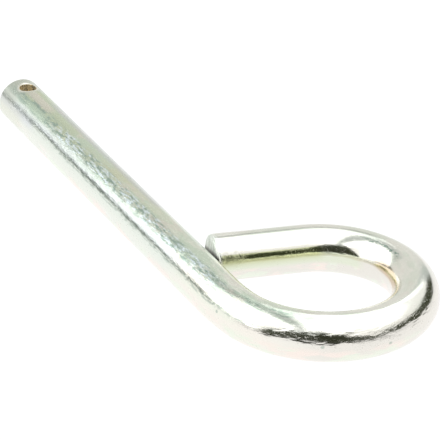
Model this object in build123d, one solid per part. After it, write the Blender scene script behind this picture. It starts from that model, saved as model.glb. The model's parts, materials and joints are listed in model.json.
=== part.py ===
from build123d import *

import os

# A hitch pin, bent cold from one round steel rod. The tip of the straight shank goes through the
# hitch, and a spring clip through the cross hole near the tip keeps it there. The other end of the
# rod is curled round into a finger loop that closes against the side of the shank.
#
# The pin lies flat with the plane of its loop level. The shank runs along +X from its tip to the
# loop, and the loop curls to the left, towards +Y. Lengths are in millimetres, angles in degrees.

# Rod
ROD_D = 12.0

# Shank, straight from the tip to the first bend
SHANK_L = 120.0
TIP_CHAMFER = 0.8

# Cross hole, drilled square to the plane of the loop and countersunk on both sides
HOLE_D = 4.6
HOLE_FROM_TIP = 5.9
SINK_WIDTH = 0.3

# Loop, as three bends that follow on from each other. Each is bent round a former, so its radius
# is that of the inside of the rod. The lead-in bend is slight, the curl makes the front of the
# loop, and the closing bend, a little tighter, brings the rod back to the shank.
LEAD_IN_R = 60.0
LEAD_IN_ANGLE = 8.5
CURL_R = 17.75
CLOSING_R = 14.75
CLOSING_ANGLE = 83.0

# Tail, straight and cut square, with its edge broken. It comes back to the shank TAIL_LEAN short
# of a right angle, and its end stops TAIL_GAP off the shank's side.
TAIL_LEAN = 8.5
TAIL_GAP = 0.55
TAIL_CHAMFER = 0.5

# How far a cutting tool runs past the surface it cuts
OVERCUT = 1.0

ROD_R = ROD_D / 2
HOLE_R = HOLE_D / 2
CURL_ANGLE = 270.0 - TAIL_LEAN - LEAD_IN_ANGLE - CLOSING_ANGLE


def bend(rod_so_far, inside_r, angle):
    """An arc of the rod's centre line that carries on from the line or arc before it."""
    return JernArc(rod_so_far @ 1, rod_so_far % 1, inside_r + ROD_R, angle)


def tail(closing_bend):
    """The last straight stretch, whose end comes within TAIL_GAP of the shank's side."""
    start = closing_bend @ 1
    heading = closing_bend % 1
    end_face_r = ROD_R - TAIL_CHAMFER
    nearest_corner = start.Y - end_face_r * abs(heading.X)
    length = (nearest_corner - ROD_R - TAIL_GAP) / abs(heading.Y)
    return Line(start, start + heading * length)


def centre_line():
    """The whole centre line of the rod, from the tip of the shank to the cut end of the tail."""
    shank = Line((0, 0), (SHANK_L, 0))
    lead_in = bend(shank, LEAD_IN_R, LEAD_IN_ANGLE)
    curl = bend(lead_in, CURL_R, CURL_ANGLE)
    closing = bend(curl, CLOSING_R, CLOSING_ANGLE)
    return Wire([shank, lead_in, curl, closing, tail(closing)])


def end_faces(rod):
    """The flat ends of the rod, the tip's first and the tail's last."""
    return rod.faces().filter_by(GeomType.PLANE).sort_by(Axis.X)


def bent_rod():
    """The rod along its centre line, with the edges of its two ends broken."""
    line = centre_line()
    section = Plane(line @ 0, z_dir=line % 0) * Circle(ROD_R)
    rod = sweep(section, line)
    rod = chamfer(end_faces(rod)[0].edges(), TIP_CHAMFER)
    return chamfer(end_faces(rod)[-1].edges(), TAIL_CHAMFER)


def cross_hole():
    """The drill and its two 90 degree countersinks, as one shape to cut with."""
    drill = Cylinder(HOLE_R, ROD_D + 2 * OVERCUT)
    depth = SINK_WIDTH + OVERCUT
    countersink = Pos(Z=ROD_R - SINK_WIDTH) * Cone(
        HOLE_R, HOLE_R + depth, depth, align=(Align.CENTER, Align.CENTER, Align.MIN)
    )
    cutter = drill + countersink + mirror(countersink, Plane.XY)
    return Pos(X=HOLE_FROM_TIP) * cutter


def hitch_pin():
    """The finished pin, lying on Z = 0 with the middle of its box over the origin."""
    pin = bent_rod() - cross_hole()
    box = pin.bounding_box()
    return Pos(-box.center().X, -box.center().Y, -box.min.Z) * pin


os.makedirs("parts", exist_ok=True)
export_step(hitch_pin(), "parts/hitch_pin.step")
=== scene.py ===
"""The looks of a zinc-plated hitch pin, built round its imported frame.

The pin is one round steel rod, bent cold. A straight shank runs from the chamfered tip, past the
cross hole for a spring clip, to a finger loop whose cut tail closes against the side of the shank.
The bright zinc over it carries a thin film that shimmers from green through straw to pink.

Lengths are in metres and angles in degrees, unless a description says otherwise.
"""

from __future__ import annotations

import json
import logging
import math
from dataclasses import dataclass
from enum import Enum
from typing import Any

import bmesh
import bpy
import numpy as np
from mathutils import Matrix, Quaternion, Vector


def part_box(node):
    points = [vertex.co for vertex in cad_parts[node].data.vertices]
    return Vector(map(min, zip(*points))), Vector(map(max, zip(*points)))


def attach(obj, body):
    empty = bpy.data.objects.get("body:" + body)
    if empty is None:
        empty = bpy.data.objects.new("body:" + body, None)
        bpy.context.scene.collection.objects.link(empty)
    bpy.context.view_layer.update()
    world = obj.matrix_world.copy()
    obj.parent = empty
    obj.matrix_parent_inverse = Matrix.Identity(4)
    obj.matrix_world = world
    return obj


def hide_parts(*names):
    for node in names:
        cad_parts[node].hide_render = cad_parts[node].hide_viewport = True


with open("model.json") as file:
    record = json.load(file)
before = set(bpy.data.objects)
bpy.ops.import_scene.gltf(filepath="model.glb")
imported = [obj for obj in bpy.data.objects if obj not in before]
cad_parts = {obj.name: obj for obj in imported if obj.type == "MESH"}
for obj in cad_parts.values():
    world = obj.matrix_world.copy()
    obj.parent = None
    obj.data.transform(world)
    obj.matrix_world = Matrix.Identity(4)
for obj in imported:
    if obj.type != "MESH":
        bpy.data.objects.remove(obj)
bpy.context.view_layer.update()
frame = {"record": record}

log = logging.getLogger("hitch_pin")

Socket = bpy.types.NodeSocket
Colour = tuple[float, float, float, float]
Triple = tuple[float, float, float]

MM = 0.001
NODE = "hitch_pin"
BODY = "root"
STRAIGHT_ROD = "straight_rod"
WHITE: Colour = (1.0, 1.0, 1.0, 1.0)

# Further than any point of an open end is from the middle of that end.
END_REACH = 8.0 * MM
# How far a cutting tool runs past the surface it cuts.
OVERCUT = 1.0 * MM
# Points closer than this are one and the same.
WELD_GAP = 0.001 * MM


def mount(name: str) -> dict[str, Any]:
    """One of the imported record's mounts.

    Args:
        name: The mount's name in the record.

    Returns:
        The mount as the record states it.
    """
    return next(m for m in frame["record"]["mounts"] if m["name"] == name)


def deselect_all() -> None:
    """Leaves nothing selected, so that the next operator acts on its own piece alone."""
    for thing in bpy.context.selected_objects:
        thing.select_set(False)


def unit(bearing: float) -> Vector:
    """The level direction that lies so many degrees round from +X towards +Y."""
    turn = math.radians(bearing)
    return Vector((math.cos(turn), math.sin(turn), 0.0))


@dataclass(frozen=True)
class Station:
    """A place on the rod's centre line.

    Attributes:
        spot: Where it is.
        heading: The way the rod runs there, round from +X towards +Y.
        along: The length of rod between the tip and here.
    """

    spot: Vector
    heading: float
    along: float

    def forward(self) -> Vector:
        """The way the rod runs."""
        return unit(self.heading)

    def left(self) -> Vector:
        """The level direction to the left of the rod, where the loop curls."""
        return unit(self.heading + 90.0)


@dataclass(frozen=True)
class Run:
    """A straight stretch of the rod.

    Attributes:
        start: Where it starts.
        length: How long it is.
    """

    start: Station
    length: float

    def end(self) -> Station:
        """Where the next stretch starts."""
        spot = self.start.spot + self.start.forward() * self.length
        return Station(spot, self.start.heading, self.start.along + self.length)

    def form(self, ring_gap: float) -> None:
        """Draws the rod's open end, which is selected, along the stretch.

        Args:
            ring_gap: How far apart its rings of points may be.
        """
        move = self.start.forward() * self.length
        bpy.ops.mesh.extrude_edges_move(TRANSFORM_OT_translate={"value": move})
        rings = math.ceil(self.length / ring_gap)
        split_side_edges(rings - 1)

    def straighten(self, points: np.ndarray) -> tuple[np.ndarray, np.ndarray]:
        """Lays points of this stretch out along a straight rod.

        Args:
            points: Places in the row frame, one to a row.

        Returns:
            Places on the straight rod, which starts at the origin and runs along +X, and how far
            each point is from the stretch's centre line.
        """
        offset = points - np.array(self.start.spot)
        ahead = offset @ np.array(self.start.forward())
        side = offset @ np.array(self.start.left())
        up = offset[:, 2]
        beyond = ahead - np.clip(ahead, 0.0, self.length)
        straight = np.stack([self.start.along + ahead, side, up], axis=1)
        return straight, np.sqrt(side**2 + up**2 + beyond**2)


@dataclass(frozen=True)
class Bend:
    """A stretch bent to the left round a former.

    Attributes:
        start: Where it starts.
        radius: The radius of its centre line.
        angle: How far it turns.
    """

    start: Station
    radius: float
    angle: float

    def centre(self) -> Vector:
        """The middle of the bend."""
        return self.start.spot + self.start.left() * self.radius

    def end(self) -> Station:
        """Follows the bend to its end.

        Returns:
            Where the next stretch starts.
        """
        heading = self.start.heading + self.angle
        spot = self.centre() - unit(heading + 90.0) * self.radius
        return Station(spot, heading, self.start.along + self.radius * math.radians(self.angle))

    def form(self, ring_gap: float) -> None:
        """Spins the rod's open end, which is selected, round the bend.

        Args:
            ring_gap: How far apart its rings of points may be, along the centre line.
        """
        turn = math.radians(self.angle)
        steps = math.ceil(self.radius * turn / ring_gap)
        bpy.ops.mesh.spin(steps=steps, angle=-turn, center=self.centre(), axis=(0.0, 0.0, 1.0))

    def straighten(self, points: np.ndarray) -> tuple[np.ndarray, np.ndarray]:
        """Lays points of this stretch out along a straight rod.

        Args:
            points: Places in the row frame, one to a row.

        Returns:
            Places on the straight rod, which starts at the origin and runs along +X, and how far
            each point is from the stretch's centre line.
        """
        offset = points - np.array(self.centre())
        ahead = offset @ np.array(self.start.forward())
        out = -(offset @ np.array(self.start.left()))
        turned = np.arctan2(ahead, out)
        side = self.radius - np.hypot(ahead, out)
        up = offset[:, 2]
        beyond = (turned - np.clip(turned, 0.0, math.radians(self.angle))) * self.radius
        straight = np.stack([self.start.along + turned * self.radius, side, up], axis=1)
        return straight, np.sqrt(side**2 + up**2 + beyond**2)


def split_side_edges(cuts: int) -> None:
    """Cuts the walls just extruded into rings, and selects the new open end again.

    Args:
        cuts: How many rings of points to add between the two ends.
    """
    mesh = bmesh.from_edit_mesh(bpy.context.edit_object.data)
    open_end = {v for v in mesh.verts if v.select}
    for v in mesh.verts:
        v.select = False
    for e in mesh.edges:
        e.select = len(open_end.intersection(e.verts)) == 1
    end_places = [v.co.copy() for v in open_end]
    bpy.ops.mesh.subdivide(number_cuts=cuts)
    mesh = bmesh.from_edit_mesh(bpy.context.edit_object.data)
    select_open_end(mesh, sum(end_places, Vector()) / len(end_places))


def select_open_end(mesh: bmesh.types.BMesh, spot: Vector) -> None:
    """Selects the ring of boundary edges round a place on the centre line.

    Args:
        mesh: The rod, in edit mode.
        spot: The middle of the open end.
    """
    bpy.ops.mesh.select_all(action="DESELECT")
    for e in mesh.edges:
        if e.is_boundary and (e.verts[0].co - spot).length < END_REACH:
            e.select_set(True)
    bmesh.update_edit_mesh(bpy.context.edit_object.data)


@dataclass(frozen=True)
class RodForm:
    """How the rod is bent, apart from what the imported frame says.

    Attributes:
        shank_length: From the tip to the first bend.
        lead_in_radius: The inside radius of the slight first bend.
        lead_in_angle: How far the first bend turns.
        curl_radius: The inside radius of the loop's front.
        closing_radius: The inside radius of the bend that closes the loop.
        closing_angle: How far the closing bend turns.
        tail_lean: How far short of square the tail comes back to the shank.
        tail_gap: The room between the tail's end and the shank.
        tip_chamfer: The width of the tip's chamfer.
        tip_steps: How many facets the tip's chamfer has.
        tail_chamfer: The width of the tail's chamfer.
        tail_steps: How many facets that one has, which round it.
        sink_width: How far the countersink reaches past the hole, all round.
    """

    shank_length: float = 120.0 * MM
    lead_in_radius: float = 60.0 * MM
    lead_in_angle: float = 8.5
    curl_radius: float = 17.75 * MM
    closing_radius: float = 14.75 * MM
    closing_angle: float = 83.0
    tail_lean: float = 8.5
    tail_gap: float = 0.55 * MM
    tip_chamfer: float = 0.8 * MM
    tip_steps: int = 1
    tail_chamfer: float = 0.5 * MM
    tail_steps: int = 4
    sink_width: float = 0.3 * MM


@dataclass
class HitchPin:
    """The bent rod with its cross hole, as one plated piece.

    Attributes:
        form: How the rod is bent.
        rod_radius: Half the rod's thickness.
        hole_radius: Half the cross hole's width.
        hole_spot: The middle of the cross hole.
        tip: Where the centre line starts.
        ring_gap: How far apart the rings of points along the rod may be.
        points_round: How many points there are round the rod.
        hole_points: How many there are round the cross hole.
        crease_angle: How sharply two faces meet where their edge looks sharp.
    """

    form: RodForm
    rod_radius: float
    hole_radius: float
    hole_spot: Vector
    tip: Station
    ring_gap: float = 0.6 * MM
    points_round: int = 96
    hole_points: int = 64
    crease_angle: float = 25.0

    @classmethod
    def from_frame(cls) -> HitchPin:
        """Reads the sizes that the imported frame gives.

        Returns:
            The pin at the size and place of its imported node.
        """
        low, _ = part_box(NODE)
        shank, hole = mount("shank"), mount("clip_hole")
        rod_radius = shank["dims"]["r_mm"] * MM
        tip = Station(Vector((low.x, shank["pos_m"][1], low.z + rod_radius)), 0.0, 0.0)
        return cls(RodForm(), rod_radius, hole["dims"]["r_mm"] * MM, Vector(hole["pos_m"]), tip)

    def stretches(self) -> list[Run | Bend]:
        """Sets the rod's stretches end to end.

        Returns:
            The stretches, from the tip to the end of the tail.
        """
        form = self.form
        shank = Run(self.tip, form.shank_length)
        lead_in = Bend(shank.end(), form.lead_in_radius + self.rod_radius, form.lead_in_angle)
        curl_angle = 270.0 - form.tail_lean - form.lead_in_angle - form.closing_angle
        curl = Bend(lead_in.end(), form.curl_radius + self.rod_radius, curl_angle)
        closing = Bend(curl.end(), form.closing_radius + self.rod_radius, form.closing_angle)
        tail_start = closing.end()
        return [shank, lead_in, curl, closing, Run(tail_start, self.tail_length(tail_start))]

    def tail_length(self, start: Station) -> float:
        """The length of straight tail that brings its end up to the shank.

        Args:
            start: Where the tail starts.

        Returns:
            The length that leaves the gap between the tail's nearest corner and the shank.
        """
        heading = start.forward()
        face_radius = self.rod_radius - self.form.tail_chamfer
        corner = start.spot.y - face_radius * abs(heading.x)
        shank_side = self.tip.spot.y + self.rod_radius
        return (corner - shank_side - self.form.tail_gap) / abs(heading.y)

    def build(self) -> bpy.types.Object:
        """Forms the rod, ends and hole.

        Returns:
            The finished piece, with the places of its points on the straight rod.
        """
        form = self.form
        pin = self.bend_rod()
        self.break_end(pin, self.tip, form.tip_chamfer, form.tip_steps)
        self.break_end(pin, self.stretches()[-1].end(), form.tail_chamfer, form.tail_steps)
        self.drill(pin)
        self.lay_out_straight(pin)
        bpy.ops.object.shade_smooth_by_angle(angle=math.radians(self.crease_angle))
        return pin

    def bend_rod(self) -> bpy.types.Object:
        """Draws a ring of points along the centre line and closes both ends.

        Returns:
            The bent rod.
        """
        deselect_all()
        bpy.ops.mesh.primitive_circle_add(
            vertices=self.points_round, radius=self.rod_radius, location=self.tip.spot,
            rotation=(0.0, math.radians(90.0), 0.0))
        pin = bpy.context.active_object
        pin.name = "plated_rod"
        bpy.ops.object.transform_apply(location=True, rotation=True, scale=True)
        bpy.ops.object.mode_set(mode="EDIT")
        bpy.ops.mesh.select_all(action="SELECT")
        bpy.ops.mesh.select_mode(type="EDGE")
        for stretch in self.stretches():
            stretch.form(self.ring_gap)
        bpy.ops.mesh.edge_face_add()
        select_open_end(bmesh.from_edit_mesh(pin.data), self.tip.spot)
        bpy.ops.mesh.edge_face_add()
        bpy.ops.mesh.select_all(action="SELECT")
        bpy.ops.mesh.remove_doubles(threshold=WELD_GAP)
        bpy.ops.mesh.normals_make_consistent(inside=False)
        bpy.ops.object.mode_set(mode="OBJECT")
        return pin

    def break_end(
            self, pin: bpy.types.Object, station: Station, width: float, steps: int) -> None:
        """Chamfers one end of the rod.

        Args:
            pin: The bent rod.
            station: The end.
            width: The width of its chamfer.
            steps: How many facets the chamfer has.
        """
        bpy.ops.object.mode_set(mode="EDIT")
        bpy.ops.mesh.select_all(action="DESELECT")
        mesh = bmesh.from_edit_mesh(pin.data)
        for face in mesh.faces:
            off = (face.calc_center_median() - station.spot).length
            if len(face.verts) == self.points_round and off < self.rod_radius / 2:
                for edge in face.edges:
                    edge.select_set(True)
        bmesh.update_edit_mesh(pin.data)
        bpy.ops.mesh.bevel(offset=width, segments=steps, affect="EDGES")
        bpy.ops.object.mode_set(mode="OBJECT")

    def hole_cutter(self) -> bpy.types.Object:
        """Forms the drill and its two countersinks, as one shape to cut with.

        Returns:
            The cutter.
        """
        sink = self.form.sink_width
        low = self.hole_spot - Vector((0.0, 0.0, self.rod_radius + OVERCUT))
        wide = self.hole_radius + sink + OVERCUT
        deselect_all()
        bpy.ops.mesh.primitive_circle_add(
            vertices=self.hole_points, radius=wide, location=low, fill_type="NGON")
        cutter = bpy.context.active_object
        bpy.ops.object.transform_apply(location=True, rotation=True, scale=True)
        bpy.ops.object.mode_set(mode="EDIT")
        bpy.ops.mesh.select_all(action="SELECT")
        narrow = self.hole_radius / wide
        sloped = sink + OVERCUT
        straight = 2.0 * (self.rod_radius - sink)
        for rise, scale in ((sloped, narrow), (straight, 1.0), (sloped, 1.0 / narrow)):
            bpy.ops.mesh.extrude_region_move(TRANSFORM_OT_translate={"value": (0.0, 0.0, rise)})
            mesh = bmesh.from_edit_mesh(cutter.data)
            top = max(v.co.z for v in mesh.verts)
            centre = Vector((self.hole_spot.x, self.hole_spot.y, top))
            bpy.ops.transform.resize(value=(scale, scale, 1.0), center_override=centre)
        bpy.ops.mesh.select_all(action="SELECT")
        bpy.ops.mesh.normals_make_consistent(inside=False)
        bpy.ops.object.mode_set(mode="OBJECT")
        return cutter

    def drill(self, pin: bpy.types.Object) -> None:
        """Cuts the cross hole and its two countersinks.

        Args:
            pin: The bent rod.
        """
        cutter = self.hole_cutter()
        deselect_all()
        pin.select_set(True)
        bpy.context.view_layer.objects.active = pin
        cut = pin.modifiers.new("cross_hole", "BOOLEAN")
        cut.operation = "DIFFERENCE"
        cut.solver = "EXACT"
        cut.object = cutter
        bpy.ops.object.modifier_apply(modifier=cut.name)
        bpy.data.objects.remove(cutter)

    def lay_out_straight(self, pin: bpy.types.Object) -> None:
        """Stores where each point would be on the rod before it was bent.

        Args:
            pin: The finished form.
        """
        points = np.empty(len(pin.data.vertices) * 3)
        pin.data.vertices.foreach_get("co", points)
        points = points.reshape(-1, 3)
        laid, off_line = zip(*(stretch.straighten(points) for stretch in self.stretches()))
        nearest = np.argmin(np.stack(off_line), axis=0)
        straight = np.stack(laid)[nearest, np.arange(len(points))]
        layer = pin.data.attributes.new(STRAIGHT_ROD, "FLOAT_VECTOR", "POINT")
        layer.data.foreach_set("vector", straight.ravel())

    def dress(self, pin: bpy.types.Object) -> None:
        """Gives the pin its finish and its place in the frame.

        Args:
            pin: The finished form.
        """
        finish = ZincPlate(
            rod_radius=self.rod_radius / MM,
            rod_length=self.stretches()[-1].end().along / MM,
            hole_from_tip=(self.hole_spot.x - self.tip.spot.x) / MM,
            hole_radius=self.hole_radius / MM,
        )
        pin.data.materials.clear()
        pin.data.materials.append(finish.material())
        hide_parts(NODE)
        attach(pin, BODY)


@dataclass(frozen=True)
class NodeSheet:
    """A material's nodes, wired up as they are added.

    Attributes:
        tree: The material's node tree.
    """

    tree: bpy.types.NodeTree

    def add(self, kind: str, inputs: dict[str | int, Any], **settings: Any) -> bpy.types.Node:
        """Adds a node.

        Args:
            kind: The node's type.
            inputs: What goes into its sockets, by name or number: a value, or a socket to link.
            settings: Its other properties.

        Returns:
            The node.
        """
        node = self.tree.nodes.new(kind)
        for name, value in settings.items():
            setattr(node, name, value)
        for name, value in inputs.items():
            if isinstance(value, Socket):
                self.tree.links.new(value, node.inputs[name])
            else:
                node.inputs[name].default_value = value
        return node

    def maths(self, operation: str, *values: float | Socket) -> Socket:
        """A sum, product or other reckoning with numbers."""
        node = self.add("ShaderNodeMath", dict(enumerate(values)), operation=operation)
        return node.outputs["Value"]

    def hypotenuse(self, side: Socket, other: Socket) -> Socket:
        """The long side of a right-angled triangle, from its two short ones."""
        squares = [self.maths("MULTIPLY", part, part) for part in (side, other)]
        return self.maths("SQRT", self.maths("ADD", *squares))

    def product(self, *factors: float | Socket) -> Socket:
        """Several numbers multiplied together.

        Args:
            factors: The numbers.

        Returns:
            Their product.
        """
        result = factors[0]
        for factor in factors[1:]:
            result = self.maths("MULTIPLY", result, factor)
        return result

    def scaled(self, where: Socket, scale: Triple) -> Socket:
        """A place or direction with each of its parts multiplied."""
        inputs = {0: where, 1: scale}
        return self.add("ShaderNodeVectorMath", inputs, operation="MULTIPLY").outputs["Vector"]

    def dot(self, direction: Socket, other: Triple | Vector) -> Socket:
        """How far a direction points another's way, from -1 to 1."""
        inputs = {0: direction, 1: tuple(other)}
        return self.add("ShaderNodeVectorMath", inputs, operation="DOT_PRODUCT").outputs["Value"]

    def step(self, value: Socket, low: float, high: float) -> Socket:
        """A smooth step from 0 to 1.

        Args:
            value: What it follows.
            low: The value at which it is 0, which may be the higher of the two.
            high: The value at which it is 1.

        Returns:
            The step.
        """
        inputs = {"Value": value, "From Min": low, "From Max": high}
        node = self.add("ShaderNodeMapRange", inputs, interpolation_type="SMOOTHSTEP")
        return node.outputs["Result"]

    def window(self, value: Socket, low: float, high: float, fade: float) -> Socket:
        """1 between two values and 0 outside them.

        Args:
            value: What it follows.
            low: Where it starts.
            high: Where it ends.
            fade: How far outside them it reaches 0.

        Returns:
            The window.
        """
        return self.product(self.step(value, low - fade, low), self.step(value, high + fade, high))

    def blend(
            self, share: float | Socket, first: Colour | Socket, second: Colour | Socket) -> Socket:
        """A colour between two others.

        Args:
            share: The share of the second colour.
            first: The colour at 0.
            second: The colour at 1.

        Returns:
            The blend.
        """
        inputs = {0: share, 6: first, 7: second}
        return self.add("ShaderNodeMix", inputs, data_type="RGBA").outputs[2]


class Film(Enum):
    """The colours that the passivate film shimmers in.

    CLEAR and CREAM are the loop's own, on top and round the rest of it. SAGE, MINT and CHALK are
    the shank's, on top, at the sides and underneath, CHALK being lighter partly as a painted
    reflection of the white floor, and PALE is where it meets the loop and at the edge of the cross
    hole. BORE is the hole's wall, and CUT and FRESH are the sawn end, FRESH also being a painted
    highlight on the side towards the loop's inside. GRIME is tarnish on the hole's wall, and also
    painted shade on the tail's end next to the shank and a painted dark band along the top of the
    tail. The others are patches and streaks, DUSK also being painted dark flecks along the line
    that the shank's outside reflects dark.
    """

    CLEAR = (0.775, 0.770, 0.715, 1.0)
    CREAM = (0.800, 0.775, 0.720, 1.0)
    SAGE = (0.545, 0.610, 0.460, 1.0)
    MINT = (0.738, 0.767, 0.765, 1.0)
    CHALK = (0.815, 0.840, 0.775, 1.0)
    PALE = (0.885, 0.850, 0.780, 1.0)
    DUSK = (0.350, 0.440, 0.380, 1.0)
    ROSE = (0.925, 0.810, 0.750, 1.0)
    LEAF = (0.810, 0.870, 0.750, 1.0)
    ICE = (0.880, 0.895, 0.850, 1.0)
    GREEN = (0.550, 0.645, 0.530, 1.0)
    STRAW = (0.610, 0.600, 0.430, 1.0)
    PINK = (0.690, 0.640, 0.580, 1.0)
    FROST = (0.800, 0.880, 0.920, 1.0)
    LIME = (0.740, 0.785, 0.640, 1.0)
    AMBER = (0.770, 0.620, 0.470, 1.0)
    OLIVE = (0.560, 0.595, 0.310, 1.0)
    BORE = (0.930, 0.830, 0.620, 1.0)
    SMOKE = (0.555, 0.575, 0.520, 1.0)
    MAUVE = (0.540, 0.560, 0.570, 1.0)
    CUT = (0.740, 0.790, 0.720, 1.0)
    FRESH = (0.970, 0.980, 0.950, 1.0)
    GRIME = (0.090, 0.090, 0.070, 1.0)


@dataclass(frozen=True)
class RodSheet(NodeSheet):
    """A material's nodes, with sockets that say where a point is on the straight rod.

    Attributes:
        where: The place, in millimetres.
        along: How far from the tip, in millimetres.
        inward: -1 on the outside of the loop's bends and 1 on their inside.
        up: -1 underneath and 1 on top.
        shank: 1 on the shank, fading to 0 round the loop.
        bore: 1 in the cross hole and its countersinks.
        brink: 1 at the edge of the cross hole.
        cut: 1 on the tail's flat end.
    """

    where: Socket
    along: Socket
    inward: Socket
    up: Socket
    shank: Socket
    bore: Socket
    brink: Socket
    cut: Socket

    def noise(self, blotch: Triple, detail: float = 2.0) -> Socket:
        """Soft random blotches, from 0 to 1.

        Args:
            blotch: The blotches' size along the rod and across it, in millimetres.
            detail: How many finer layers lie over them.

        Returns:
            The noise's value.
        """
        place = self.scaled(self.where, tuple(1.0 / size for size in blotch))
        inputs = {"Vector": place, "Scale": 1.0, "Detail": detail, "Roughness": 0.6}
        return self.add("ShaderNodeTexNoise", inputs).outputs["Fac"]


@dataclass(frozen=True)
class ZincPlate:
    """Bright zinc plating under a thin iridescent passivate film. Its lengths are in millimetres.

    Attributes:
        rod_radius: Half the rod's thickness.
        rod_length: The length of the whole rod.
        hole_from_tip: How far the cross hole's axis is from the tip.
        hole_radius: Half the cross hole's width.
        loop_starts: How far along the rod the shank's look starts to fade.
        loop_smooth: How far along it has faded.
        rubbed_roughness: How dull the plate is where it is rubbed.
        clean_roughness: How dull it is where it is clean.
        speck_roughness: How much duller the specks are where the plate is rubbed through.
        cloud_roughness: How much duller its cloudy patches are.
        tip_roughness: How much duller it gets towards the tip.
        crimp_roughness: How much duller the end of the tail is.
        bore_roughness: How much duller the wall of the cross hole is.
        cut_roughness: How much duller the cut end is.
        loop_wear: How rubbed the whole of the loop is.
        scuff_wear: How much more rubbed it is where it is scuffed.
        line_depth: The depth of the lines drawn along the shank.
        flake_depth: The depth of the plate's flakes where it is rubbed.
        wave_depth: The depth of the waves in the rubbed surface.
        crimp_depth: The depth of the marks round the end of the tail.
        streak_depth: The depth of the saw's streaks on the cut end.
        scuff_depth: The depth of the scuffs on the outside of the loop.
        graze_depth: The depth of the marks on the top of the loop.
        scratch_depth: The depth of the bright scratches on the shank.
        dome_depth: How far the cut end looks worn down towards its rim.
        face_depth: How far from the rod's end still counts as its flat face.
        bore_margin: How far past the wall of the cross hole still counts as it.
        brink: How far from that wall its edge is palest and where that ends.
        crevice_slope: How steeply the painted shade on the cut end climbs to the loop's inside.
        pit_radius: How far a pit reaches from its middle.
        pit_places: How far each pit is from the tip, and its angle up the outside.
    """

    rod_radius: float
    rod_length: float
    hole_from_tip: float
    hole_radius: float
    loop_starts: float = 134.0
    loop_smooth: float = 156.0
    rubbed_roughness: float = 0.17
    clean_roughness: float = 0.08
    speck_roughness: float = 0.30
    cloud_roughness: float = 0.05
    tip_roughness: float = 0.09
    crimp_roughness: float = 0.15
    bore_roughness: float = 0.25
    cut_roughness: float = 0.22
    loop_wear: float = 0.48
    scuff_wear: float = 0.8
    line_depth: float = 0.024
    flake_depth: float = 0.026
    wave_depth: float = 0.050
    crimp_depth: float = 0.120
    streak_depth: float = 0.180
    scuff_depth: float = 0.035
    graze_depth: float = 0.045
    scratch_depth: float = 0.075
    dome_depth: float = 0.60
    face_depth: float = 0.1
    bore_margin: float = 0.05
    brink: tuple[float, float] = (0.3, 0.9)
    crevice_slope: float = 0.165
    pit_radius: float = 0.50
    pit_places: tuple[tuple[float, float], ...] = ((129.0, 14.0), (152.7, 4.0), (166.5, -3.0))

    def material(self) -> bpy.types.Material:
        """Wires up the finish.

        Returns:
            The material.
        """
        material = bpy.data.materials.new("zinc_plate")
        material.use_nodes = True
        shader = material.node_tree.nodes["Principled BSDF"]
        shader.inputs["Metallic"].default_value = 1.0
        rod = self.locate(NodeSheet(material.node_tree))
        scuffed = self.scuffed(rod)
        worn = rod.maths("MULTIPLY_ADD", scuffed, self.scuff_wear, self.loop_wear)
        rubbed = rod.maths("MAXIMUM", worn, rod.shank)
        pits = self.pits(rod)
        links = material.node_tree.links
        links.new(self.colour(rod, pits), shader.inputs["Base Color"])
        links.new(self.roughness(rod, rubbed), shader.inputs["Roughness"])
        links.new(self.relief(rod, rubbed, scuffed), shader.inputs["Normal"])
        return material

    def locate(self, sheet: NodeSheet) -> RodSheet:
        """Reads where a point is on the straight rod.

        Args:
            sheet: The material's nodes.

        Returns:
            The same nodes, with the sockets that say where it is.
        """
        straight = sheet.add("ShaderNodeAttribute", {}, attribute_name=STRAIGHT_ROD)
        in_mm = sheet.scaled(straight.outputs["Vector"], (1.0 / MM, 1.0 / MM, 1.0 / MM))
        parts = sheet.add("ShaderNodeSeparateXYZ", {"Vector": in_mm}).outputs
        along = parts["X"]
        from_hole = sheet.maths("SUBTRACT", along, self.hole_from_tip)
        off_axis = sheet.hypotenuse(from_hole, parts["Y"])
        palest, pale_ends = (self.hole_radius + far for far in self.brink)
        return RodSheet(
            tree=sheet.tree,
            where=in_mm,
            along=along,
            inward=sheet.maths("DIVIDE", parts["Y"], self.rod_radius),
            up=sheet.maths("DIVIDE", parts["Z"], self.rod_radius),
            shank=sheet.step(along, self.loop_smooth, self.loop_starts),
            bore=sheet.maths("LESS_THAN", off_axis, self.hole_radius + self.bore_margin),
            brink=sheet.step(off_axis, pale_ends, palest),
            cut=sheet.maths("GREATER_THAN", along, self.rod_length - self.face_depth),
        )

    def scuffed(self, rod: RodSheet) -> Socket:
        """Where the outside of the loop is scuffed, in patches.

        Args:
            rod: The material's nodes.

        Returns:
            1 where it is scuffed most.
        """
        outside = rod.product(
            rod.window(rod.along, 146.0, 176.0, 14.0), rod.step(rod.inward, -0.55, -0.85),
            rod.step(rod.up, -0.35, 0.05))
        patches = rod.step(rod.noise((7.0, 2.5, 2.5)), 0.38, 0.56)
        return rod.product(outside, patches)

    def pits(self, rod: RodSheet) -> Socket:
        """The few pits in the outside of the loop.

        Args:
            rod: The material's nodes.

        Returns:
            1 in a pit.
        """
        result = 0.0
        for along, above in self.pit_places:
            turn = math.radians(above)
            spot = (along, -self.rod_radius * math.cos(turn), self.rod_radius * math.sin(turn))
            ends = {0: rod.where, 1: spot}
            away = rod.add("ShaderNodeVectorMath", ends, operation="DISTANCE").outputs["Value"]
            pit = rod.step(away, self.pit_radius, 0.5 * self.pit_radius)
            result = rod.maths("MAXIMUM", result, pit)
        return result

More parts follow.
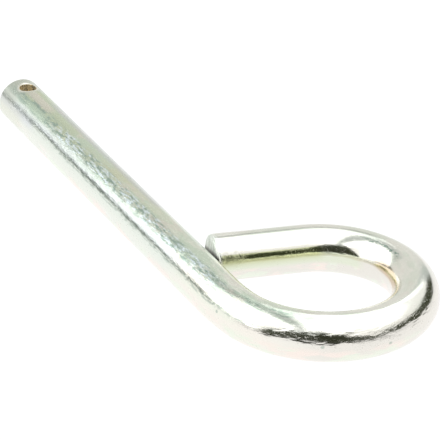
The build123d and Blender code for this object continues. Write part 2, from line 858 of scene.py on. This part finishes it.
    def colour(self, rod: RodSheet, pits: Socket) -> Socket:
        """The tints of the film, with painted shade and a painted highlight on the tail's cut end.

        Args:
            rod: The material's nodes.
            pits: 1 in a pit.

        Returns:
            The plating's colour.
        """
        tint = self.mottled(rod, self.plain_film(rod))
        tint = self.streaked(rod, tint)
        tint = rod.blend(rod.product(pits, 0.6), tint, Film.DUSK.value)
        tint = rod.blend(rod.product(rod.brink, 0.6), tint, Film.PALE.value)
        tint = rod.blend(rod.bore, tint, self.hole_wall(rod))
        # The sawn end's colours, painted highlight included, reach back 1.2 mm over its rounded
        # rim.
        near_end = rod.step(rod.along, self.rod_length - 1.2, self.rod_length)
        tint = rod.blend(near_end, tint, self.sawn_face(rod))
        # Painted shade: the cut end is darkened next to the shank, below a line rising to the
        # loop's inside.
        above_shank = rod.maths("MULTIPLY_ADD", rod.inward, -self.crevice_slope, rod.up)
        crevice_shade = rod.product(rod.cut, rod.step(above_shank, 0.40, 0.18), 0.85)
        return rod.blend(crevice_shade, tint, Film.GRIME.value)

    def hole_wall(self, rod: RodSheet) -> Socket:
        """The colour of the cross hole's wall, which is tarnished in spots."""
        tarnish = rod.step(rod.noise((0.9, 0.9, 1.6)), 0.44, 0.62)
        return rod.blend(rod.product(tarnish, 0.5), Film.BORE.value, Film.GRIME.value)

    def sawn_face(self, rod: RodSheet) -> Socket:
        """The colour of the tail's cut end, brighter in the saw's streaks, and lightened towards
        the loop's inside as a painted highlight.

        Args:
            rod: The material's nodes.

        Returns:
            The colour.
        """
        sawn = rod.step(rod.noise((1.0, 0.8, 6.0)), 0.38, 0.62)
        # Painted highlight: the side of the cut end towards the loop's inside is lightened.
        bright = rod.maths("MAXIMUM", sawn, rod.step(rod.inward, -0.3, 0.7))
        return rod.blend(bright, Film.CUT.value, Film.FRESH.value)

    def plain_film(self, rod: RodSheet) -> Socket:
        """The film's broad colour, on top, at the sides and underneath, lighter underneath partly
        as a painted reflection of the white floor.

        Args:
            rod: The material's nodes.

        Returns:
            The colour.
        """
        dull = rod.step(rod.along, self.loop_smooth, 20.0)
        top = rod.blend(dull, Film.CLEAR.value, Film.SAGE.value)
        bare = rod.window(rod.along, 116.0, 138.0, 16.0)
        side, below = (
            rod.blend(bare, rod.blend(rod.shank, Film.CREAM.value, own.value), Film.PALE.value)
            for own in (Film.MINT, Film.CHALK))
        flank = rod.product(
            rod.step(rod.inward, -0.84, -0.88), rod.window(rod.up, 0.0, 0.48, 0.22),
            rod.window(rod.along, 24.0, 132.0, 5.0), 0.55)
        side = rod.blend(flank, side, Film.LEAF.value)
        tint = rod.blend(rod.step(rod.up, 0.94, 0.60), top, side)
        # Painted reflection: the shank is lighter underneath, partly film tint, partly for the
        # floor.
        return rod.blend(rod.step(rod.up, 0.34, 0.0), tint, below)

    def mottled(self, rod: RodSheet, tint: Socket) -> Socket:
        """The film with its patches of other colours, and painted dark flecks along the line that
        the shank's outside reflects dark.

        Args:
            rod: The material's nodes.
            tint: The colour under them.

        Returns:
            The colour.
        """
        loose = rod.maths("MULTIPLY_ADD", rod.shank, 0.45, 0.35)
        above = rod.product(loose, rod.step(rod.up, 0.45, 0.90))
        below = rod.product(rod.step(rod.up, 0.1, -0.3), 0.8)
        dusky = rod.product(self.shoulder(rod), rod.window(rod.along, 6.0, 118.0, 10.0))
        # Flecks a little higher than the shoulder, where the first bend starts.
        fretted = rod.product(
            rod.window(rod.inward, -0.42, -0.16, 0.08), rod.step(rod.up, 0.0, 0.3),
            rod.window(rod.along, 116.0, 144.0, 12.0), 0.7)
        frosted = self.frosted(rod)
        # Painted reflection: dark flecks along the thin dark line that the shank's outside
        # reflects.
        painted_dark_line = rod.product(
            rod.window(rod.inward, -0.935, -0.87, 0.025), rod.step(rod.up, 0.0, 0.2),
            rod.window(rod.along, 40.0, 138.0, 10.0), 0.5)
        straws = rod.product(
            above, rod.step(rod.up, 0.75, 0.95), rod.step(rod.along, 110.0, 40.0))
        iced = rod.product(below, rod.step(rod.along, 118.0, 96.0))
        for film, share, blotch, low, high in (
            (Film.GREEN, above, (13.0, 4.0, 4.0), 0.42, 0.58),
            (Film.STRAW, straws, (19.0, 4.0, 4.0), 0.45, 0.58),
            (Film.PINK, above, (11.0, 5.0, 5.0), 0.54, 0.68),
            (Film.DUSK, dusky, (2.6, 0.75, 0.75), 0.44, 0.60),
            (Film.DUSK, fretted, (1.8, 0.6, 0.6), 0.46, 0.62),
            (Film.DUSK, painted_dark_line, (2.2, 0.6, 0.6), 0.46, 0.60),
            (Film.FROST, frosted, (2.6, 0.6, 0.6), 0.46, 0.62),
            (Film.DUSK, self.grazed(rod), (1.2, 0.6, 0.6), 0.48, 0.62),
            (Film.ROSE, below, (12.0, 5.0, 5.0), 0.48, 0.60),
            (Film.LEAF, below, (9.0, 4.0, 4.0), 0.50, 0.62),
            (Film.ICE, iced, (14.0, 2.5, 2.5), 0.52, 0.64),
        ):
            patch = rod.step(rod.noise(blotch, detail=5.0), low, high)
            tint = rod.blend(rod.product(patch, share), tint, film.value)
        return tint

    def shoulder(self, rod: RodSheet) -> Socket:
        """The strip between the top of the rod and its outside, where the shank rubs."""
        across = rod.window(rod.inward, -0.60, -0.27, 0.15)
        return rod.product(across, rod.step(rod.up, 0.0, 0.3))

    def frosted(self, rod: RodSheet) -> Socket:
        """The clusters of bright scratches along the shank's shoulder.

        Args:
            rod: The material's nodes.

        Returns:
            1 in the middle of a cluster.
        """
        clusters = rod.step(rod.noise((9.0, 2.4, 2.4)), 0.32, 0.52)
        middle = rod.window(rod.along, 38.0, 116.0, 14.0)
        return rod.product(self.shoulder(rod), clusters, middle)

    def streaked(self, rod: RodSheet, tint: Socket) -> Socket:
        """The film with its coloured streaks, at both ends of the shank and along the loop, and a
        painted dark band along the top of the tail.

        Args:
            rod: The material's nodes.
            tint: The colour under them.

        Returns:
            The colour.
        """
        for film, along, inward, fade, up, strength in (
            (Film.SMOKE, (-6.0, 6.0), (-0.88, 1.00), 0.06, (0.35, 1.00), 0.85),
            (Film.STRAW, (-6.0, 12.0), (-1.00, -0.93), 0.04, (-0.40, 0.35), 0.2),
            (Film.DUSK, (5.0, 19.0), (-0.64, -0.42), 0.08, (0.40, 1.00), 0.42),
            (Film.PINK, (11.0, 20.0), (-0.20, 0.05), 0.15, (0.50, 1.00), 0.7),
            (Film.GREEN, (15.0, 22.0), (-0.60, -0.46), 0.10, (0.50, 1.00), 0.8),
            (Film.MAUVE, (20.0, 80.0), (0.30, 1.00), 0.20, (0.00, 1.00), 0.6),
            (Film.LIME, (214.0, self.rod_length), (0.70, 1.00), 0.05, (-0.05, 0.22), 0.9),
            # Painted reflection: a dark band on top of the tail, at the edge of the strip softbox's
            # reflection.
            (Film.GRIME, (213.0, self.rod_length), (0.07, 0.14), 0.06, (0.80, 1.00), 0.5),
            (Film.AMBER, (188.0, 203.0), (0.84, 0.95), 0.05, (0.10, 0.90), 0.8),
            (Film.OLIVE, (228.0, self.rod_length), (0.88, 0.97), 0.05, (0.10, 0.90), 0.8),
        ):
            streak = rod.product(
                rod.window(rod.along, *along, 5.0), rod.window(rod.inward, *inward, fade),
                rod.window(rod.up, *up, 0.22), strength)
            tint = rod.blend(streak, tint, film.value)
        return tint

    def roughness(self, rod: RodSheet, rubbed: Socket) -> Socket:
        """How dull the plating is.

        Args:
            rod: The material's nodes.
            rubbed: 1 where the plate is rubbed most.

        Returns:
            The roughness.
        """
        gain = self.rubbed_roughness - self.clean_roughness
        dull = rod.maths("MULTIPLY_ADD", rubbed, gain, self.clean_roughness)
        clouds = rod.step(rod.noise((6.0, 2.0, 2.0)), 0.40, 0.65)
        specks = rod.step(rod.noise((0.7, 0.35, 0.35)), 0.58, 0.68)
        for share, more in (
            (clouds, self.cloud_roughness),
            (rod.product(specks, rubbed), self.speck_roughness),
            (rod.step(rod.along, 44.0, 10.0), self.tip_roughness),
            (self.crimped(rod), self.crimp_roughness),
            (rod.bore, self.bore_roughness),
            (rod.cut, self.cut_roughness),
        ):
            dull = rod.maths("MULTIPLY_ADD", share, more, dull)
        return dull

    def grazed(self, rod: RodSheet) -> Socket:
        """The top of the loop towards its inside, which the bending former grazed."""
        return rod.product(
            rod.window(rod.along, 201.5, 210.0, 4.5),
            rod.window(rod.inward, 0.33, 0.45, 0.08), rod.step(rod.up, 0.3, 0.6))

    def crimped(self, rod: RodSheet) -> Socket:
        """The last few millimetres of the tail, which the bending tool held."""
        return rod.step(rod.along, self.rod_length - 8.0, self.rod_length - 4.0)

    def relief(self, rod: RodSheet, rubbed: Socket, scuffed: Socket) -> Socket:
        """The fine relief of the plated surface.

        Args:
            rod: The material's nodes.
            rubbed: 1 where the plate is rubbed most.
            scuffed: 1 where the outside of the loop is scuffed most.

        Returns:
            The surface's normal.
        """
        lines = rod.noise((5.0, 0.45, 0.45), detail=1.5)
        flakes = rod.noise((1.9, 0.38, 0.38), detail=1.5)
        waves = rod.noise((5.0, 1.8, 1.8), detail=1.0)
        scuffs = rod.noise((0.8, 0.45, 0.45), detail=1.0)
        scratches = rod.noise((3.2, 0.55, 0.55), detail=3.0)
        crimps = rod.noise((0.9, 1.8, 1.8), detail=1.0)
        streaks = rod.noise((1.0, 0.9, 8.0), detail=1.0)
        from_axis = rod.hypotenuse(rod.inward, rod.up)
        heights = (
            rod.product(lines, rod.shank, self.line_depth),
            rod.product(flakes, rubbed, self.flake_depth),
            rod.product(waves, rubbed, self.wave_depth),
            rod.product(scuffs, scuffed, self.scuff_depth),
            rod.product(scuffs, self.grazed(rod), self.graze_depth),
            rod.product(scratches, self.frosted(rod), self.scratch_depth),
            rod.product(crimps, self.crimped(rod), self.crimp_depth),
            rod.product(streaks, rod.cut, self.streak_depth),
            rod.product(rod.step(from_axis, 0.95, 0.68), rod.cut, self.dome_depth),
        )
        height = heights[0]
        for more in heights[1:]:
            height = rod.maths("ADD", height, more)
        bump = rod.add("ShaderNodeBump", {"Height": height, "Distance": MM, "Strength": 1.0})
        return bump.outputs["Normal"]


@dataclass(frozen=True)
class Aim:
    """A direction from the pin, as seen from the camera.

    Attributes:
        bearing: How far round to the right of straight behind the pin.
        elevation: How far above the table.
    """

    bearing: float
    elevation: float = 0.0

    def towards(self, camera_azimuth: float) -> Vector:
        """The direction in the row frame.

        Args:
            camera_azimuth: Where the camera stands.

        Returns:
            The direction.
        """
        rise = math.radians(self.elevation)
        level = unit(camera_azimuth + 90.0 - self.bearing)
        return level * math.cos(rise) + Vector((0.0, 0.0, math.sin(rise)))


@dataclass(frozen=True)
class Softbox:
    """A flat soft light.

    Attributes:
        name: What it is called.
        stands: Where its middle is.
        distance: How far that is from the pin.
        backs: Which way its back is turned.
        roll: How far it is turned in its own plane.
        width: Its level side, before it is turned.
        height: Its other side.
        radiance: How bright its face is. A white floor is 1.
    """

    name: str
    stands: Aim
    distance: float
    backs: Aim
    roll: float
    width: float
    height: float
    radiance: float

    def place(self, camera_azimuth: float) -> bpy.types.Object:
        """Sets the light up.

        Args:
            camera_azimuth: Where the camera stands.

        Returns:
            The light.
        """
        data = bpy.data.lights.new(self.name, "AREA")
        data.shape = "RECTANGLE"
        data.size = self.width
        data.size_y = self.height
        data.energy = self.radiance * math.pi * self.width * self.height
        light = bpy.data.objects.new(self.name, data)
        bpy.context.scene.collection.objects.link(light)
        light.location = self.stands.towards(camera_azimuth) * self.distance
        facing = (-self.backs.towards(camera_azimuth)).to_track_quat("-Z", "Y")
        turned = Quaternion((0.0, 0.0, 1.0), math.radians(self.roll))
        light.rotation_euler = (facing @ turned).to_euler()
        light.visible_camera = False
        return light


@dataclass(frozen=True)
class Studio:
    """A white table, a pale wall behind it, two softboxes, and the dark half of a room in front.

    Attributes:
        camera_azimuth: Where the camera stands.
        floor_size: The side of the table.
        floor_glow: How bright the table is.
        front_edge: How far in front of the pin's middle the table starts to fall dark to what lies
            on it, and where it is all dark.
        room_colour: The colour of the dark side of the room.
        front_colour: The colour of the room behind the camera.
        gap_colour: The colour of the dark gap beside the wall.
        wall_colour: The colour of the wall behind the table.
        ceiling_colour: The colour of the ceiling.
        softboxes: The lights.
    """

    camera_azimuth: float
    floor_size: float = 20.0
    floor_glow: float = 1.08
    front_edge: tuple[float, float] = (0.13, 0.20)
    room_colour: Colour = (0.046, 0.053, 0.028, 1.0)
    front_colour: Colour = (0.038, 0.042, 0.026, 1.0)
    gap_colour: Colour = (0.170, 0.195, 0.175, 1.0)
    wall_colour: Colour = (0.890, 0.885, 0.850, 1.0)
    ceiling_colour: Colour = (0.600, 0.640, 0.620, 1.0)
    softboxes: tuple[Softbox, ...] = (
        Softbox(
            "left_softbox", stands=Aim(-98.0, 41.5), distance=0.757, backs=Aim(-98.0, 41.5),
            roll=-5.0, width=1.14, height=0.905, radiance=1.22),
        Softbox(
            "strip_softbox", stands=Aim(42.1, 54.0), distance=0.90, backs=Aim(109.6, 60.9),
            roll=22.6, width=2.20, height=1.06, radiance=1.06),
    )

    def build(self) -> None:
        """Sets up the table, the lights and the room."""
        self.lay_floor()
        for softbox in self.softboxes:
            softbox.place(self.camera_azimuth)
            log.info("%s is up", softbox.name)
        self.paint_room()

    def lay_floor(self) -> bpy.types.Object:
        """Lays the white table top that the pin lies on.

        Returns:
            The table top.
        """
        deselect_all()
        bpy.ops.mesh.primitive_plane_add(size=self.floor_size, location=(0.0, 0.0, 0.0))
        floor = bpy.context.active_object
        floor.name = "floor"
        material = bpy.data.materials.new("white_floor")
        material.use_nodes = True
        sheet = NodeSheet(material.node_tree)
        sheet.tree.nodes.remove(sheet.tree.nodes["Principled BSDF"])
        spot = sheet.add("ShaderNodeTexCoord", {}).outputs["Object"]
        in_front = sheet.dot(spot, Aim(180.0).towards(self.camera_azimuth))
        seen = sheet.add("ShaderNodeLightPath", {}).outputs["Is Camera Ray"]
        lit = sheet.maths("MAXIMUM", seen, sheet.step(in_front, *reversed(self.front_edge)))
        strength = sheet.product(lit, self.floor_glow)
        glow = sheet.add("ShaderNodeEmission", {"Strength": strength})
        output = sheet.tree.nodes["Material Output"]
        sheet.tree.links.new(glow.outputs["Emission"], output.inputs["Surface"])
        floor.data.materials.append(material)
        return floor

    def paint_room(self) -> None:
        """Makes the room that the pin reflects, with white past the table for the camera alone."""
        world = bpy.data.worlds.new("room")
        bpy.context.scene.world = world
        world.use_nodes = True
        sheet = NodeSheet(world.node_tree)
        outward = sheet.add("ShaderNodeTexCoord", {}).outputs["Generated"]
        rise = sheet.add("ShaderNodeSeparateXYZ", {"Vector": outward}).outputs["Z"]
        lit_side, behind, slot, in_front = (
            sheet.dot(outward, aim.towards(self.camera_azimuth))
            for aim in (Aim(-50.0), Aim(-20.0), Aim(-63.0), Aim(180.0)))
        # Half of the room is dark, up to the ceiling, and darkest behind the camera.
        dark = sheet.blend(sheet.step(in_front, 0.70, 0.90), self.room_colour, self.front_colour)
        dark_half = sheet.product(sheet.step(lit_side, 0.30, 0.18), sheet.step(rise, 0.74, 0.62))
        colour = sheet.blend(dark_half, self.ceiling_colour, dark)
        # The table's white carries on low down all round, except in front.
        rim = sheet.product(sheet.step(rise, 0.14, 0.09), sheet.step(in_front, 0.66, 0.44))
        colour = sheet.blend(rim, colour, WHITE)
        # The pale wall stands behind the table, with a narrow dark gap at its left.
        colour = sheet.blend(sheet.step(behind, 0.74, 0.81), colour, self.wall_colour)
        gap = sheet.product(sheet.step(slot, 0.955, 0.975), sheet.window(rise, 0.06, 0.28, 0.05))
        colour = sheet.blend(gap, colour, self.gap_colour)
        reflected = world.node_tree.nodes["Background"]
        world.node_tree.links.new(colour, reflected.inputs["Color"])
        beyond_floor = sheet.add("ShaderNodeBackground", {"Color": WHITE})
        either = sheet.add("ShaderNodeMixShader", {
            "Fac": sheet.add("ShaderNodeLightPath", {}).outputs["Is Camera Ray"],
            1: reflected.outputs["Background"],
            2: beyond_floor.outputs["Background"],
        })
        output = world.node_tree.nodes["World Output"]
        world.node_tree.links.new(either.outputs["Shader"], output.inputs["Surface"])


@dataclass(frozen=True)
class Viewpoint:
    """Where the camera stands, as a product shot looks down along the shank's side.

    Attributes:
        azimuth: Round from the -Y side towards +X.
        elevation: Above the floor.
        roll: How far the camera is turned about its own line of sight.
        distance: From the point that it looks at.
        lens: Its focal length, in millimetres.
        sensor: The width of its sensor, in millimetres.
        clip: The nearest and the furthest that it sees.
        aim: The point that it looks at, from the middle of the pin's foot print.
    """

    azimuth: float = 61.775
    elevation: float = 26.836
    roll: float = 3.344
    distance: float = 0.8073
    lens: float = 257.48
    sensor: float = 36.0
    clip: tuple[float, float] = (0.01, 50.0)
    aim: tuple[float, float, float] = (-3.857 * MM, 0.194 * MM, 0.0)

    def build(self) -> bpy.types.Object:
        """Sets the camera up and makes it the scene's own.

        Returns:
            The camera.
        """
        data = bpy.data.cameras.new("camera")
        data.lens = self.lens
        data.sensor_width = self.sensor
        data.clip_start, data.clip_end = self.clip
        camera = bpy.data.objects.new("camera", data)
        bpy.context.scene.collection.objects.link(camera)
        rise, tilt = math.radians(self.elevation), math.radians(self.roll)
        outward = unit(self.azimuth - 90.0)
        back = outward * math.cos(rise) + Vector((0.0, 0.0, math.sin(rise)))
        right = unit(self.azimuth)
        up = back.cross(right)
        across = right * math.cos(tilt) + up * math.sin(tilt)
        turn = Matrix((across, back.cross(across), back)).transposed()
        spot = Vector(self.aim) + back * self.distance
        camera.matrix_world = Matrix.Translation(spot) @ turn.to_4x4()
        bpy.context.scene.camera = camera
        return camera


def main() -> None:
    """Builds the pin and the studio round it, in order."""
    logging.basicConfig(level=logging.INFO, format="%(name)s: %(message)s")
    maker = HitchPin.from_frame()
    pin = maker.build()
    maker.dress(pin)
    log.info("%s has %d faces", pin.name, len(pin.data.polygons))
    viewpoint = Viewpoint()
    viewpoint.build()
    Studio(viewpoint.azimuth).build()
    bpy.context.scene.view_settings.view_transform = "Standard"


if __name__ == "__main__":
    main()
